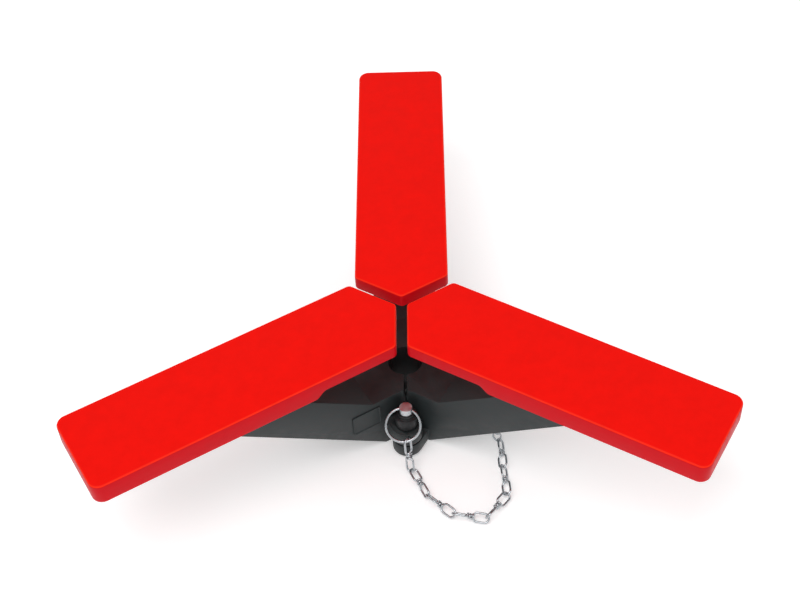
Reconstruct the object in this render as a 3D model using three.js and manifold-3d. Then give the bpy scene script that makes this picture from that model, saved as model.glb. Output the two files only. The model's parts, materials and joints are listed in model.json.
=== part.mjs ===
// A folding three-arm support head. Three alike cast segments meet round an open bore, and each
// carries a padded arm. Two corners of the hub are bolted hinges. The third is closed by a
// lock pin with a pull ring, which a knotted chain ties to the right arm.
//
// Millimetres, +Z up, and the back arm points along +Y. An arm is built along +X, with its
// length called "along", its width "across" and its height "up", and its group turns it.
import * as THREE from "three";
import { mergeVertices } from "three/addons/utils/BufferGeometryUtils.js";
import Module from "manifold-3d";

const wasm = await Module();
wasm.setup();

// ---- Driving dimensions ----

const gap = 0.3; // between pieces that touch
const armAngles = { back: 90, left: 210, right: 330 }; // degrees about the bore

const pad = {
  halfWidth: 45,
  tip: 6, // from the bore's axis
  end: 333.2,
  top: 160,
  thick: 23.3,
  thin: 15.5, // over the hub
  stepAt: 112,
  stepLength: 12,
  endRadius: 10.5,
  shoulderRadius: 6,
  tipRadius: 4.5,
  edge: 2.4,
};

const hub = {
  top: 70,
  boreRadius: 17.4,
  slit: 3, // between two segments, at the top
  lowSlit: 0.6,
  lowSlitTop: 60,
  flatEnd: 54.5, // where the arm starts to rise
};

const arm = {
  halfWidth: 31.3,
  topSlope: 0.76,
  bottomSlope: 0.8,
  bottomStart: 43,
  flangeThick: 6,
  flangeEnd: 302,
  ribHalfWidth: 4,
  ribDepth: 9,
};

// Hollows under an arm, each from one distance to another along it.
const pockets = { spans: [[58, 92], [112, 141], [150, 184]], halfWidth: 23, skin: 9 };

const knuckle = {
  fromAxis: 54.2, // hinge and pin centres, from the bore's axis
  radius: 15.2,
  lugBottom: 3,
  lugTop: 18.6,
  bossBottom: 20.7,
  bossTop: 37.4,
  pinHole: 6.8,
  bushHole: 8.6,
};

const bush = { inner: 6.8, outer: 8.3, flange: 10.5, flangeTop: 41.3 };
const bolt = { radius: 6.5, washerThick: 1.7, headAcross: 19, headHeight: 8 };
const thrustWasher = { inner: 6.8, outer: 13 };

const lockPin = { radius: 6.5, bottom: 1.5, top: 65, chamfer: 1, ringHole: 2.3, ringHoleUp: 61 };
// The black collar round the pin, with a narrow neck above a wide skirt.
const collar = { inner: 6.8, neck: 8.3, skirt: 11.2, skirtTop: 53.5, top: 57.6 };
const detent = { up: 11, ball: 1.8, pocket: 2.1, floor: 1, reach: 6.75, wire: 0.25, coil: 1.3 };
const ring = { radius: 17.1, wire: 1.4, lean: 38.5 }; // lean from the vertical, in degrees

const screw = {
  places: [[222, 20], [222, -20], [286, 20], [286, -20]], // along, across
  radius: 3,
  hole: 3.3,
  headAcross: 10,
  headHeight: 4,
  flange: 6.5,
  length: 14,
};
const insert = { outer: 5, inner: 3.3, hole: 5.3, length: 12 };

const label = { along: 62.5, up: 50.5, length: 31, height: 27, thick: 1, rim: 1.6, field: 0.4 };

const chain = { wire: 1.1, loopRadius: 4.15, slack: 0.15, knotRadius: 3.1, knotLength: 5.4 };
// Where each link meets the next, from the pull ring to the anchor eye, from the bore's axis.
const linkPoints = [
  [0, -73.9, 35.9],
  [3.9, -89.4, 6.8],
  [19, -118.8, 5.9],
  [43.7, -140.7, 5.9],
  [76.2, -146.2, 5.9],
  [96, -119.9, 5.9],
  [94.3, -87, 5.6],
  [91.2, -55.2, 6.4],
  [90.1, -54.9, 37.8],
];
const linkRolls = [0, 10, 0, 0, 5, 35, 40, 0]; // each link's turn about its own length, degrees
const eye = { along: 100.9, across: -2.5, radius: 4.6, wire: 1.5, stand: 7.4, shank: 2.6, depth: 12 };

// ---- Values worked out from them ----

const rad = THREE.MathUtils.degToRad;
const shoulder = pad.tip + pad.halfWidth / Math.tan(rad(60));
const underside = pad.top - pad.thick;
const flangeTop = underside - gap;
const flangeBottom = flangeTop - arm.flangeThick;
const armTopEnd = hub.flatEnd + (flangeTop - hub.top) / arm.topSlope;
const armBottomEnd = arm.bottomStart + flangeBottom / arm.bottomSlope;
const bottomAngle = Math.atan(arm.bottomSlope);
const bottomNormal = new THREE.Vector3(Math.sin(bottomAngle), 0, -Math.cos(bottomAngle));
const kneeAlong = knuckle.fromAxis * Math.cos(rad(60));
const kneeAcross = knuckle.fromAxis * Math.sin(rad(60));

// The frame's origin is under the middle of the whole object, so the bore stands off it in -Y.
const frontReach =
  (pad.end - pad.endRadius) * Math.sin(rad(30)) +
  (pad.halfWidth - pad.endRadius) * Math.cos(rad(30)) +
  pad.endRadius;
const boreToMiddle = (pad.end - frontReach) / 2;

// ---- Materials ----

const finish = (color, roughness, metalness) =>
  new THREE.MeshStandardMaterial({ color, roughness, metalness });
const padRed = finish(0xe5170f, 0.5, 0);
const castGrey = finish(0x3c3e3f, 0.6, 0.1);
const zincSteel = finish(0xb9bcc0, 0.35, 0.9);
const brass = finish(0xb08d48, 0.4, 0.9);
const blackNylon = finish(0x222324, 0.55, 0);

// ---- Solids ----

function solid(geometry) {
  const bare = geometry.clone();
  bare.deleteAttribute("normal");
  bare.deleteAttribute("uv");
  const merged = mergeVertices(bare, 1e-4);
  return new wasm.Manifold(
    new wasm.Mesh({
      numProp: 3,
      vertProperties: merged.attributes.position.array,
      triVerts: new Uint32Array(merged.index.array),
    }),
  );
}

function addNode(parent, name, shape, material) {
  const { vertProperties, triVerts } = shape.getMesh();
  const geometry = new THREE.BufferGeometry();
  geometry.setAttribute("position", new THREE.BufferAttribute(vertProperties, 3));
  geometry.setIndex(new THREE.BufferAttribute(triVerts, 1));
  geometry.computeVertexNormals();
  const mesh = new THREE.Mesh(geometry, material);
  mesh.name = name;
  parent.add(mesh);
}

const outline = (points) => new THREE.Shape(points.map(([x, y]) => new THREE.Vector2(x, y)));

// A plan outline raised from one height to another.
function plate(points, low, high) {
  const settings = { depth: high - low, bevelEnabled: false };
  return solid(new THREE.ExtrudeGeometry(outline(points), settings).translate(0, 0, low));
}

// A side profile of (along, up) points, extended across the arm.
function profile(points, halfWidth) {
  const settings = { depth: 2 * halfWidth, bevelEnabled: false };
  const made = new THREE.ExtrudeGeometry(outline(points), settings);
  return solid(made.rotateX(Math.PI / 2).translate(0, halfWidth, 0));
}

function post(x, y, radius, low, high, sides = 24) {
  const made = new THREE.CylinderGeometry(radius, radius, high - low, sides);
  return solid(made.rotateX(Math.PI / 2).translate(x, y, (low + high) / 2));
}

// A turned piece: closed profile of (radius, up) points about a vertical axis at (x, y).
function turned(points, x, y, sides = 24) {
  const closed = points.map(([r, up]) => new THREE.Vector2(r, up));
  const made = new THREE.LatheGeometry(closed, sides);
  return solid(made.rotateX(Math.PI / 2).translate(x, y, 0));
}

const sleeve = (inner, outer, low, high) => [
  [inner, low],
  [outer, low],
  [outer, high],
  [inner, high],
  [inner, low],
];

// A rod from one point to another, both as THREE.Vector3.
function rod(from, to, radius, sides = 12) {
  const made = new THREE.CylinderGeometry(radius, radius, from.distanceTo(to), sides);
  const turn = new THREE.Quaternion().setFromUnitVectors(
    new THREE.Vector3(0, 1, 0),
    to.clone().sub(from).normalize(),
  );
  const middle = from.clone().add(to).multiplyScalar(0.5);
  return solid(made.applyQuaternion(turn).translate(...middle));
}

// A hexagon bar across its flats, standing on a vertical axis.
const hexagon = (x, y, acrossFlats, low, high) =>
  post(x, y, acrossFlats / Math.sqrt(3), low, high, 6);

// ---- Pads ----

// A convex outline, anticlockwise, with each corner [x, y, radius] rounded.
function roundedOutline(corners) {
  const shape = new THREE.Shape();
  corners.forEach(([x, y, radius], i) => {
    const point = new THREE.Vector2(x, y);
    const toward = (corner) => new THREE.Vector2(corner[0], corner[1]).sub(point).normalize();
    const before = toward(corners.at(i - 1));
    const after = toward(corners[(i + 1) % corners.length]);
    const half = Math.acos(THREE.MathUtils.clamp(before.dot(after), -1, 1)) / 2;
    const inward = before.clone().add(after).normalize();
    const centre = point.clone().addScaledVector(inward, radius / Math.sin(half));
    const touch = (way) => point.clone().addScaledVector(way, radius / Math.tan(half)).sub(centre);
    shape.absarc(centre.x, centre.y, radius, touch(before).angle(), touch(after).angle(), false);
  });
  return shape;
}

function padSolid() {
  const { halfWidth, tip, end, endRadius, shoulderRadius, tipRadius, edge } = pad;
  const shape = roundedOutline([
    [tip, 0, tipRadius],
    [shoulder, -halfWidth, shoulderRadius],
    [end, -halfWidth, endRadius],
    [end, halfWidth, endRadius],
    [shoulder, halfWidth, shoulderRadius],
  ]);
  const below = underside - 10;
  const block = new THREE.ExtrudeGeometry(shape, {
    depth: pad.top - below - 2 * edge,
    bevelThickness: edge,
    bevelSize: edge,
    bevelOffset: -edge,
    bevelSegments: 3,
    curveSegments: 5,
  });
  const steps = 6;
  const curve = Array.from({ length: steps + 1 }, (_, i) => [
    pad.stepAt + pad.stepLength * (i / steps - 0.5),
    underside + ((pad.thick - pad.thin) * (1 + Math.cos((Math.PI * i) / steps))) / 2,
  ]);
  const cut = profile(
    [[-50, 0], [400, 0], [400, underside], ...curve.reverse(), [-50, pad.top - pad.thin]],
    60,
  );
  let made = solid(block.translate(0, 0, below + edge)).subtract(cut);
  for (const [along, across] of screw.places)
    made = made.subtract(
      post(along, across, insert.hole, underside - 1, underside + insert.length + 2 * gap, 12),
    );
  return made;
}

// ---- Cast segments ----

// A knuckle on one side of a segment: a round boss and the web that joins it to the side wall.
function knuckleSolid(side, low, high) {
  const { radius } = knuckle;
  const root = arm.halfWidth - 1.3;
  const web = [
    [kneeAlong - 6, root],
    [kneeAlong + radius, root],
    [kneeAlong + radius, kneeAcross],
    [kneeAlong, kneeAcross],
    [kneeAlong - 6, arm.halfWidth + 4.5],
  ].map(([along, across]) => [along, side * across]);
  if (side < 0) web.reverse();
  return post(kneeAlong, side * kneeAcross, radius, low, high, 40).add(plate(web, low, high));
}

function castingSolid() {
  // In plan, half a slit's width from each neighbour at the hub.
  const plan = (slit) => {
    const start = slit / 2 / Math.sin(rad(60));
    const wallStart = start + arm.halfWidth / Math.tan(rad(60));
    return [
      [start, 0],
      [wallStart, -arm.halfWidth],
      [pad.end, -arm.halfWidth],
      [pad.end, arm.halfWidth],
      [wallStart, arm.halfWidth],
    ];
  };
  const side = [
    [0, 0],
    [arm.bottomStart, 0],
    [armBottomEnd, flangeBottom],
    [arm.flangeEnd, flangeBottom],
    [arm.flangeEnd, flangeTop],
    [armTopEnd, flangeTop],
    [hub.flatEnd, hub.top],
    [0, hub.top],
  ];
  const outer = plate(plan(hub.slit), -1, pad.top).add(plate(plan(hub.lowSlit), -1, hub.lowSlitTop));
  let made = profile(side, arm.halfWidth + 1).intersect(outer);
  const rib = [
    [armBottomEnd - 20, flangeBottom],
    [armBottomEnd - 20, flangeBottom - arm.ribDepth],
    [arm.flangeEnd - 40, flangeBottom - arm.ribDepth],
    [arm.flangeEnd - 8, flangeBottom],
  ];
  made = made.add(profile(rib, arm.ribHalfWidth));
  made = made.add(knuckleSolid(1, knuckle.bossBottom, knuckle.bossTop));
  made = made.add(knuckleSolid(-1, knuckle.lugBottom, knuckle.lugTop));
  for (const [from, to] of pockets.spans) {
    const armTop = (along) => hub.top + arm.topSlope * (along - hub.flatEnd);
    const roof = (along) => Math.min(armTop(along), flangeTop) - pockets.skin;
    const hollow = [[from, -5], [to, -5], [to, roof(to)], [from, roof(from)]];
    made = made.subtract(profile(hollow, pockets.halfWidth));
  }
  made = made.subtract(post(0, 0, hub.boreRadius, -1, hub.top + 1, 60));
  made = made.subtract(post(kneeAlong, kneeAcross, knuckle.bushHole, 0, hub.top));
  made = made.subtract(post(kneeAlong, -kneeAcross, knuckle.pinHole, 0, hub.top));
  for (const [along, across] of screw.places)
    made = made.subtract(post(along, across, screw.hole, flangeBottom - 5, flangeTop + 1, 12));
  return made;
}

// ---- Fasteners and hinge parts, at the knuckle on the arm's left side ----

function screwSolid(along, across) {
  const seat = flangeBottom - gap;
  const shank = post(along, across, screw.radius, seat - 1, seat + screw.length, 12);
  const washer = post(along, across, screw.flange, seat - 1.2, seat, 16);
  const head = hexagon(along, across, screw.headAcross, seat - screw.headHeight, seat - 1);
  return shank.add(washer).add(head);
}

const insertSolid = (along, across) =>
  turned(
    sleeve(insert.inner, insert.outer, underside + gap, underside + gap + insert.length),
    along,
    across,
    12,
  );

function bushSolid() {
  const low = knuckle.bossBottom + 0.1;
  const seat = knuckle.bossTop + gap;
  return turned(
    [
      [bush.inner, low],
      [bush.outer, low],
      [bush.outer, seat],
      [bush.flange, seat],
      [bush.flange, bush.flangeTop - 0.8],
      [bush.flange - 0.8, bush.flangeTop],
      [bush.inner, bush.flangeTop],
      [bush.inner, low],
    ],
    kneeAlong,
    kneeAcross,
  );
}

const ringSolid = (inner, outer, low, high) =>
  turned(sleeve(inner, outer, low, high), kneeAlong, kneeAcross);

function addHinge(parent, side) {
  const washerLow = bush.flangeTop + gap;
  const headLow = washerLow + bolt.washerThick + gap;
  const shank = post(kneeAlong, kneeAcross, bolt.radius, knuckle.lugBottom + gap, headLow + 1);
  const head = hexagon(kneeAlong, kneeAcross, bolt.headAcross, headLow, headLow + bolt.headHeight);
  addNode(parent, `${side}_hinge_bolt`, shank.add(head), zincSteel);
  const washer = ringSolid(bolt.radius + gap, 12, washerLow, washerLow + bolt.washerThick);
  addNode(parent, `${side}_hinge_washer`, washer, zincSteel);
  addNode(parent, `${side}_hinge_bush`, bushSolid(), brass);
  const low = knuckle.lugTop + gap;
  const high = knuckle.bossBottom - gap;
  const thrust = ringSolid(thrustWasher.inner, thrustWasher.outer, low, high);
  addNode(parent, `${side}_thrust_washer`, thrust, brass);
}

// ---- Lock pin, pull ring and chain, in the bore's frame ----

const pinPlace = [0, -knuckle.fromAxis];
const ringPivot = new THREE.Vector3(...pinPlace, lockPin.ringHoleUp);

function lockPinSolid() {
  const { radius, bottom, top, chamfer } = lockPin;
  const body = turned(
    [
      [0, bottom],
      [radius - chamfer, bottom],
      [radius, bottom + 2 * chamfer],
      [radius, top - chamfer],
      [radius - chamfer, top],
      [0, top],
    ],
    ...pinPlace,
    32,
  );
  const across = new THREE.Vector3(radius + 1, 0, 0);
  const ringHole = rod(
    ringPivot.clone().sub(across),
    ringPivot.clone().add(across),
    lockPin.ringHole,
    16,
  );
  const pocket = rod(detentPoint(-detent.floor), detentPoint(radius + 1), detent.pocket, 12);
  return body.subtract(ringHole).subtract(pocket);
}

function collarSolid() {
  const { inner, neck, skirt, skirtTop, top } = collar;
  const bottom = bush.flangeTop + gap;
  const points = [
    [inner, bottom],
    [skirt, bottom],
    [skirt, skirtTop - 1],
    [skirt - 1, skirtTop],
    [neck, skirtTop],
    [neck, top - 0.8],
    [neck - 0.8, top],
    [inner, top],
    [inner, bottom],
  ];
  return turned(points, ...pinPlace);
}

// A point on the detent's own axis, which runs from the pin's middle out to the front.
const detentPoint = (out) => new THREE.Vector3(0, -knuckle.fromAxis - out, detent.up);

function detentBallSolid() {
  const centre = detentPoint(detent.reach - detent.ball);
  return solid(new THREE.SphereGeometry(detent.ball, 12, 8).translate(...centre));
}

function detentSpringSolid() {
  const from = gap - detent.floor + detent.wire;
  const to = detent.reach - 2 * detent.ball - gap - detent.wire;
  const turns = 3;
  const points = Array.from({ length: turns * 8 + 1 }, (_, i) => {
    const angle = (i * Math.PI) / 4;
    const out = from + ((to - from) * i) / (turns * 8);
    const place = detentPoint(out);
    place.x += detent.coil * Math.cos(angle);
    place.z += detent.coil * Math.sin(angle);
    return place;
  });
  const wire = new THREE.Shape().absarc(0, 0, detent.wire, 0, 2 * Math.PI);
  const settings = {
    steps: turns * 8,
    curveSegments: 3,
    extrudePath: new THREE.CatmullRomCurve3(points),
  };
  return solid(new THREE.ExtrudeGeometry(wire, settings));
}

function pullRingSolid() {
  const lean = rad(ring.lean);
  const down = new THREE.Vector3(0, -Math.sin(lean), -Math.cos(lean));
  // The wire bows across the pin, so the hole's middle is half that bow below the ring's top.
  const bow = ring.radius - Math.sqrt(ring.radius ** 2 - lockPin.radius ** 2);
  const centre = ringPivot.clone().addScaledVector(down, ring.radius - bow / 2);
  const made = new THREE.TorusGeometry(ring.radius, ring.wire, 8, 36);
  return solid(made.rotateX(-Math.PI / 2 - lean).translate(...centre));
}

// A round-ended loop of wire between two points, lying square to its normal.
function loopSolid(from, to, normal) {
  const along = to.clone().sub(from);
  const reach = (along.length() - 2 * chain.loopRadius) / 2;
  along.normalize();
  const made = new THREE.TorusGeometry(chain.loopRadius, chain.wire, 6, 12);
  made.rotateZ(Math.PI / 12);
  const place = made.attributes.position;
  for (let i = 0; i < place.count; i++) place.setX(i, place.getX(i) + Math.sign(place.getX(i)) * reach);
  const across = normal.clone().cross(along);
  const turn = new THREE.Matrix4().makeBasis(along, across, normal);
  turn.setPosition(from.clone().add(to).multiplyScalar(0.5));
  return solid(made.applyMatrix4(turn));
}

const linkEnds = linkPoints.map((place) => new THREE.Vector3(...place));
const linkWay = (i) => linkEnds[i + 1].clone().sub(linkEnds[i]).normalize();

// The way the chain runs through the point where one link meets the next.
function wayThrough(i) {
  const last = linkRolls.length - 1;
  const before = linkWay(Math.max(i - 1, 0));
  return before.add(linkWay(Math.min(i, last))).normalize();
}

const squareTo = (vector, normal) =>
  vector.clone().addScaledVector(normal, -vector.dot(normal)).normalize();

// The middle of a link's round end: its wire passes the meeting point by its own thickness,
// and the round end leans towards the way the chain runs there.
function roundEnd(i, normal, side) {
  const through = wayThrough(i);
  const hook = chain.wire + chain.slack;
  return linkEnds[i]
    .clone()
    .addScaledVector(through, side * hook)
    .addScaledVector(squareTo(through, normal), -side * chain.loopRadius);
}

// A link is one wire bent into two loops, square to each other, with a wound knot between them.
function linkSolid(index) {
  const way = linkWay(index);
  const level = new THREE.Vector3(0, 0, 1).cross(way);
  if (level.length() < 0.5) level.set(index === 0 ? 1 : -0.5, index === 0 ? 0 : -0.866, 0);
  const firstNormal = squareTo(level, way).applyAxisAngle(way, rad(linkRolls[index]));
  const secondNormal = firstNormal.clone().applyAxisAngle(way, Math.PI / 2);
  const start = roundEnd(index, firstNormal, -1);
  const end = roundEnd(index + 1, secondNormal, 1);
  const along = end.clone().sub(start).normalize();
  const middle = start.clone().add(end).multiplyScalar(0.5);
  const point = (place, step) => place.clone().addScaledVector(along, step);
  const first = loopSolid(
    point(start, -chain.loopRadius),
    point(middle, chain.wire),
    squareTo(firstNormal, along),
  );
  const second = loopSolid(
    point(middle, -chain.wire),
    point(end, chain.loopRadius),
    squareTo(secondNormal, along),
  );
  const half = chain.knotLength / 2;
  const knot = rod(point(middle, -half), point(middle, half), chain.knotRadius, 8);
  return first.add(second).add(knot);
}

// The eye that holds the chain's end, screwed square into the arm's sloping underside.
function eyePoints() {
  const seat = new THREE.Vector3(
    eye.along,
    eye.across,
    arm.bottomSlope * (eye.along - arm.bottomStart),
  );
  const out = (distance) => seat.clone().addScaledVector(bottomNormal, distance);
  return { out, centre: out(eye.stand) };
}

function eyeSolid() {
  const { out, centre } = eyePoints();
  const loop = new THREE.TorusGeometry(eye.radius, eye.wire, 8, 20);
  const ringPart = solid(loop.rotateX(Math.PI / 2).translate(...centre));
  const collar = rod(out(gap), out(gap + 1.6), 5, 16);
  const shank = rod(out(-eye.depth), out(1.5), eye.shank);
  const neck = rod(out(1), out(eye.stand - eye.radius), eye.shank - 0.4);
  return collar.add(shank).add(neck).add(ringPart);
}

function labelSolid() {
  const { along, up, length, height, thick, rim, field } = label;
  const block = (halfLength, halfHeight, near, far) => {
    const made = new THREE.BoxGeometry(2 * halfLength, far - near, 2 * halfHeight);
    return solid(made.translate(along, arm.halfWidth + (near + far) / 2, up));
  };
  const plateSolid = block(length / 2, height / 2, gap, gap + thick);
  const recess = block(length / 2 - rim, height / 2 - rim, gap + field, gap + thick + 1);
  return plateSolid.subtract(recess);
}

// ---- The object ----

const part = new THREE.Group();
part.position.y = -boreToMiddle;

const arms = {};
const casting = castingSolid();
const eyeHole = rod(eyePoints().out(-eye.depth - gap), eyePoints().out(2), eye.shank + gap);
for (const [side, angle] of Object.entries(armAngles)) {
  const group = new THREE.Group();
  group.rotation.z = rad(angle);
  part.add(group);
  arms[side] = group;
  const body = side === "right" ? casting.subtract(eyeHole) : casting;
  addNode(group, `${side}_casting`, body, castGrey);
  addNode(group, `${side}_pad`, padSolid(), padRed);
  screw.places.forEach(([along, across], i) => {
    addNode(group, `${side}_pad_screw_${i + 1}`, screwSolid(along, across), zincSteel);
    addNode(group, `${side}_pad_insert_${i + 1}`, insertSolid(along, across), brass);
  });
}

// The knuckle on an arm's left side holds the bush: the back arm's is the left hinge,
// the right arm's is the right hinge, and the left arm's is the lock pin's.
addHinge(arms.back, "left");
addHinge(arms.right, "right");
addNode(arms.left, "lock_pin_bush", bushSolid(), blackNylon);
addNode(arms.left, "label_plate", labelSolid(), castGrey);
addNode(arms.right, "chain_anchor_eye", eyeSolid(), zincSteel);

addNode(part, "lock_pin", lockPinSolid(), zincSteel);
addNode(part, "lock_pin_collar", collarSolid(), blackNylon);
addNode(part, "detent_ball", detentBallSolid(), zincSteel);
addNode(part, "detent_spring", detentSpringSolid(), zincSteel);
addNode(part, "pull_ring", pullRingSolid(), zincSteel);
linkRolls.forEach((_, i) => addNode(part, `chain_link_${i + 1}`, linkSolid(i), zincSteel));

export default part;
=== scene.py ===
"""Looks for a folding three-arm support head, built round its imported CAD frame.

Three cast segments meet round an open bore and carry red pads. Two corners of the hub are
bolted hinges, and the third is closed by a ring pin on a knotted chain. An arm is drawn
along +X in millimetres, as "along", "across" and "up", and a placement turns it into the frame.
"""

import json
import math
from types import SimpleNamespace

import bmesh
import bpy
from bpy.props import FloatProperty, FloatVectorProperty, IntProperty, PointerProperty
from bpy.types import Operator, Panel, PropertyGroup
from mathutils import Matrix, Vector


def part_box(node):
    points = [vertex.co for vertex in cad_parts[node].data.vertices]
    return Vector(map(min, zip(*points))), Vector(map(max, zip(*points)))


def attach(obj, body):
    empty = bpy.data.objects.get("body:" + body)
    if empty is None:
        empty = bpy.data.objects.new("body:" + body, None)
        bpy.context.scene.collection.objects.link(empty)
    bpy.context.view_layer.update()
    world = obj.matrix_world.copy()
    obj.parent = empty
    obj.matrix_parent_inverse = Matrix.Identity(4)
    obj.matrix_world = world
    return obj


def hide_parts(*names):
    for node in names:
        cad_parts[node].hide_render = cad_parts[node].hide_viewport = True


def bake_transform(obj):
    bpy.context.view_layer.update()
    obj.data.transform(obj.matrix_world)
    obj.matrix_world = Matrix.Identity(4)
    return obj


bl_info = {
    "name": "Folding Support Head",
    "version": (1, 0, 0),
    "blender": (4, 5, 0),
    "location": "3D View > Sidebar > Support Head",
    "description": "Builds the visual pieces of a folding three-arm support head",
    "category": "Object",
}

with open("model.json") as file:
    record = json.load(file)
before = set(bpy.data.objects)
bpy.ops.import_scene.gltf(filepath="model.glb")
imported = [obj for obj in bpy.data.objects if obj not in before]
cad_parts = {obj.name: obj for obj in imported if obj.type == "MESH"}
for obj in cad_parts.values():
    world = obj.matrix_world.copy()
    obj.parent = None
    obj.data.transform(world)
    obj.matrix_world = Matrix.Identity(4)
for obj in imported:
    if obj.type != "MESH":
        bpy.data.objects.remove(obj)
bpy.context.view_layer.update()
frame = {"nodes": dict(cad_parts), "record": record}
MM = 0.001

# Where the record puts the moving parts: the bore's axis is the middle of its three knuckles.
JOINTS = {joint["name"]: joint for joint in frame["record"]["behaviour"]["joints"]}
LEFT_HINGE = Vector(JOINTS["left_arm_fold"]["pos_m"])
RIGHT_HINGE = Vector(JOINTS["right_arm_fold"]["pos_m"])
RING_PIVOT = Vector(JOINTS["pull_ring_swing"]["pos_m"])
BORE = Vector((0, (LEFT_HINGE.y + RIGHT_HINGE.y + RING_PIVOT.y) / 3, 0))
KNUCKLE_OUT = round((BORE.y - RING_PIVOT.y) / MM, 1)
BACK_PAD = [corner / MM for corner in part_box("back_pad")]
PAD_END = BACK_PAD[1].y - BORE.y / MM
PAD_TOP = BACK_PAD[1].z

ARMS = {"back": ("rear_arm", 90), "left": ("left_arm", 210), "right": ("right_arm", 330)}
SCREW_PLACES = [(222, 20), (222, -20), (286, 20), (286, -20)]  # along, across

# Radii and heights of the knuckles' parts, in mm.
FIT = 6.8  # inner radius of all that goes round a bolt or the pin
BUSH_OUTER, BUSH_FLANGE = 8.3, 10.5
BUSH_LOW, BUSH_SEAT, BUSH_TOP = 20.8, 37.7, 41.3
FLANGED = [(FIT, BUSH_LOW), (BUSH_OUTER, BUSH_LOW), (BUSH_OUTER, BUSH_SEAT)]
FLANGED += [(BUSH_FLANGE, BUSH_SEAT), (BUSH_FLANGE, BUSH_TOP), (FIT, BUSH_TOP)]
ON_BUSH = 41.6  # what stands on a bush's flange starts here
WASHER_OUTER, WASHER_TOP = 12, 43.3
SPACER_OUTER, SPACER_LOW, SPACER_TOP = 13, 18.9, 20.4
BOLT_SEAT = 43.6
BOLT = {"Head height": 8.0, "Flange radius": 9.4, "Flange height": 0.8}
BOLT |= {"Shank radius": 6.5, "Shank length": 40.3}
PAD_SCREW = {"Head height": 4.0, "Flange radius": 6.5, "Flange height": 1.2}
PAD_SCREW |= {"Shank radius": 3.0, "Shank length": 14.8}
INSERT_HOLE = (5.3, 14.6)  # radius and depth in a pad
PAD_FLANGE = 6.0  # thickness of a segment's flange
GAP = 0.3  # between touching parts

PIN_LOW, PIN_TOP = 1.5, 65
COLLAR_SKIRT, COLLAR_NECK = (11.2, 53.5), (8.3, 57.6)  # radius and top
CATCH_UP, CATCH_OUT = 11, 4.95  # the catch ball's middle, over the ground and off the pin's axis
CATCH_RADIUS, CATCH_POCKET = 1.8, 2.1
PIN_PLACE = (0.0, -KNUCKLE_OUT)
KNEE = Vector((KNUCKLE_OUT * 0.5, KNUCKLE_OUT * math.sin(math.radians(60)), 0))

# Where each chain link meets the next, from the pull ring to the anchor eye, round the bore.
LINK_POINTS = [
    (0.4, -73.4, 36.6),
    (3.9, -89.4, 6.8),
    (19, -118.8, 5.9),
    (43.7, -140.7, 5.9),
    (76.2, -146.2, 5.9),
    (96, -119.9, 5.9),
    (94.3, -87, 5.6),
    (91.2, -55.2, 6.4),
    (90.1, -54.9, 37.8),
]
LINK_ROLLS = (42, 45, 5, 0, 0, 55, 60, 50)  # each link's turn about its own length, degrees
LOOPS_FACE = Vector((0, -0.65, 0.76))  # the way that the open loops of an unturned link face
RING_END_LINKS = 2  # these reach from the ground up to the ring


def arm_place(side):
    """Turns an arm's own millimetres into the frame."""
    return (
        Matrix.Translation(BORE)
        @ Matrix.Rotation(math.radians(ARMS[side][1]), 4, "Z")
        @ Matrix.Scale(MM, 4)
    )


BORE_PLACE = Matrix.Translation(BORE) @ Matrix.Scale(MM, 4)


# ---- Sizes and colours a user would change ----


def length(name, millimetres, text):
    return FloatProperty(
        name=name,
        description=text,
        default=millimetres * MM,
        min=1e-5,
        precision=5,
        subtype="DISTANCE",
        unit="LENGTH",
    )


def angle(name, degrees, text):
    return FloatProperty(
        name=name,
        description=text,
        default=math.radians(degrees),
        subtype="ANGLE",
        unit="ROTATION",
    )


def colour(name, code, text):
    return FloatVectorProperty(
        name=name, description=text, default=srgb(code), subtype="COLOR", size=4, min=0, max=1
    )


def srgb(code):
    """A hex sRGB colour as linear RGBA."""
    parts = [int(code[i : i + 2], 16) / 255 for i in (1, 3, 5)]
    return (*[c / 12.92 if c <= 0.04045 else ((c + 0.055) / 1.055) ** 2.4 for c in parts], 1.0)


class PadSettings(PropertyGroup):
    half_width: length("Half width", 45, "From the arm's middle to the pad's side")
    tip: length("Tip", 6.0, "From the bore's axis to the pad's pointed end")
    end: length("End", PAD_END, "From the bore's axis to the pad's far end")
    thick: length("Thickness", 23.3, "Along the arm")
    thin: length("Thickness over the hub", 15.5, "Over the hub")
    step_at: length("Step", 112, "Where the thickness changes")
    step_length: length("Step length", 12, "How long the change of thickness takes")
    end_radius: length("End corner radius", 10.5, "In plan")
    shoulder_radius: length("Shoulder radius", 6, "In plan")
    tip_radius: length("Tip radius", 4.5, "In plan")
    edge: length("Top edge radius", 2.3, "Round the top face")
    lower_edge: length("Lower edge radius", 1.0, "Round the underside")
    colour: colour("Colour", "#F00B01", "Colour of the pads' faces")
    # The sides' colour is painted shade: a darker red where the faces turn upright.
    shaded_side_colour: colour("Side colour", "#CE0616", "Colour of the pads' sides")
    # The edges' colour is a painted highlight: a lighter red along the rounded edges.
    edge_highlight_colour: colour("Edge colour", "#FA2C14", "Colour of the pads' highlighted edges")


class CastingSettings(PropertyGroup):
    edge: length("Edge width", 0.9, "How wide the broken edges of a segment are")
    colour: colour("Coating", "#23292A", "Colour of the coating on the segments")
    # The broken edges' colour is a painted highlight, paler than the coat.
    edge_highlight_colour: colour("Edge highlight", "#A2A6A8", "Colour where the coating is painted paler")
    label_radius: length("Label corner radius", 2.2, "Corners of the blank label plate")


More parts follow.
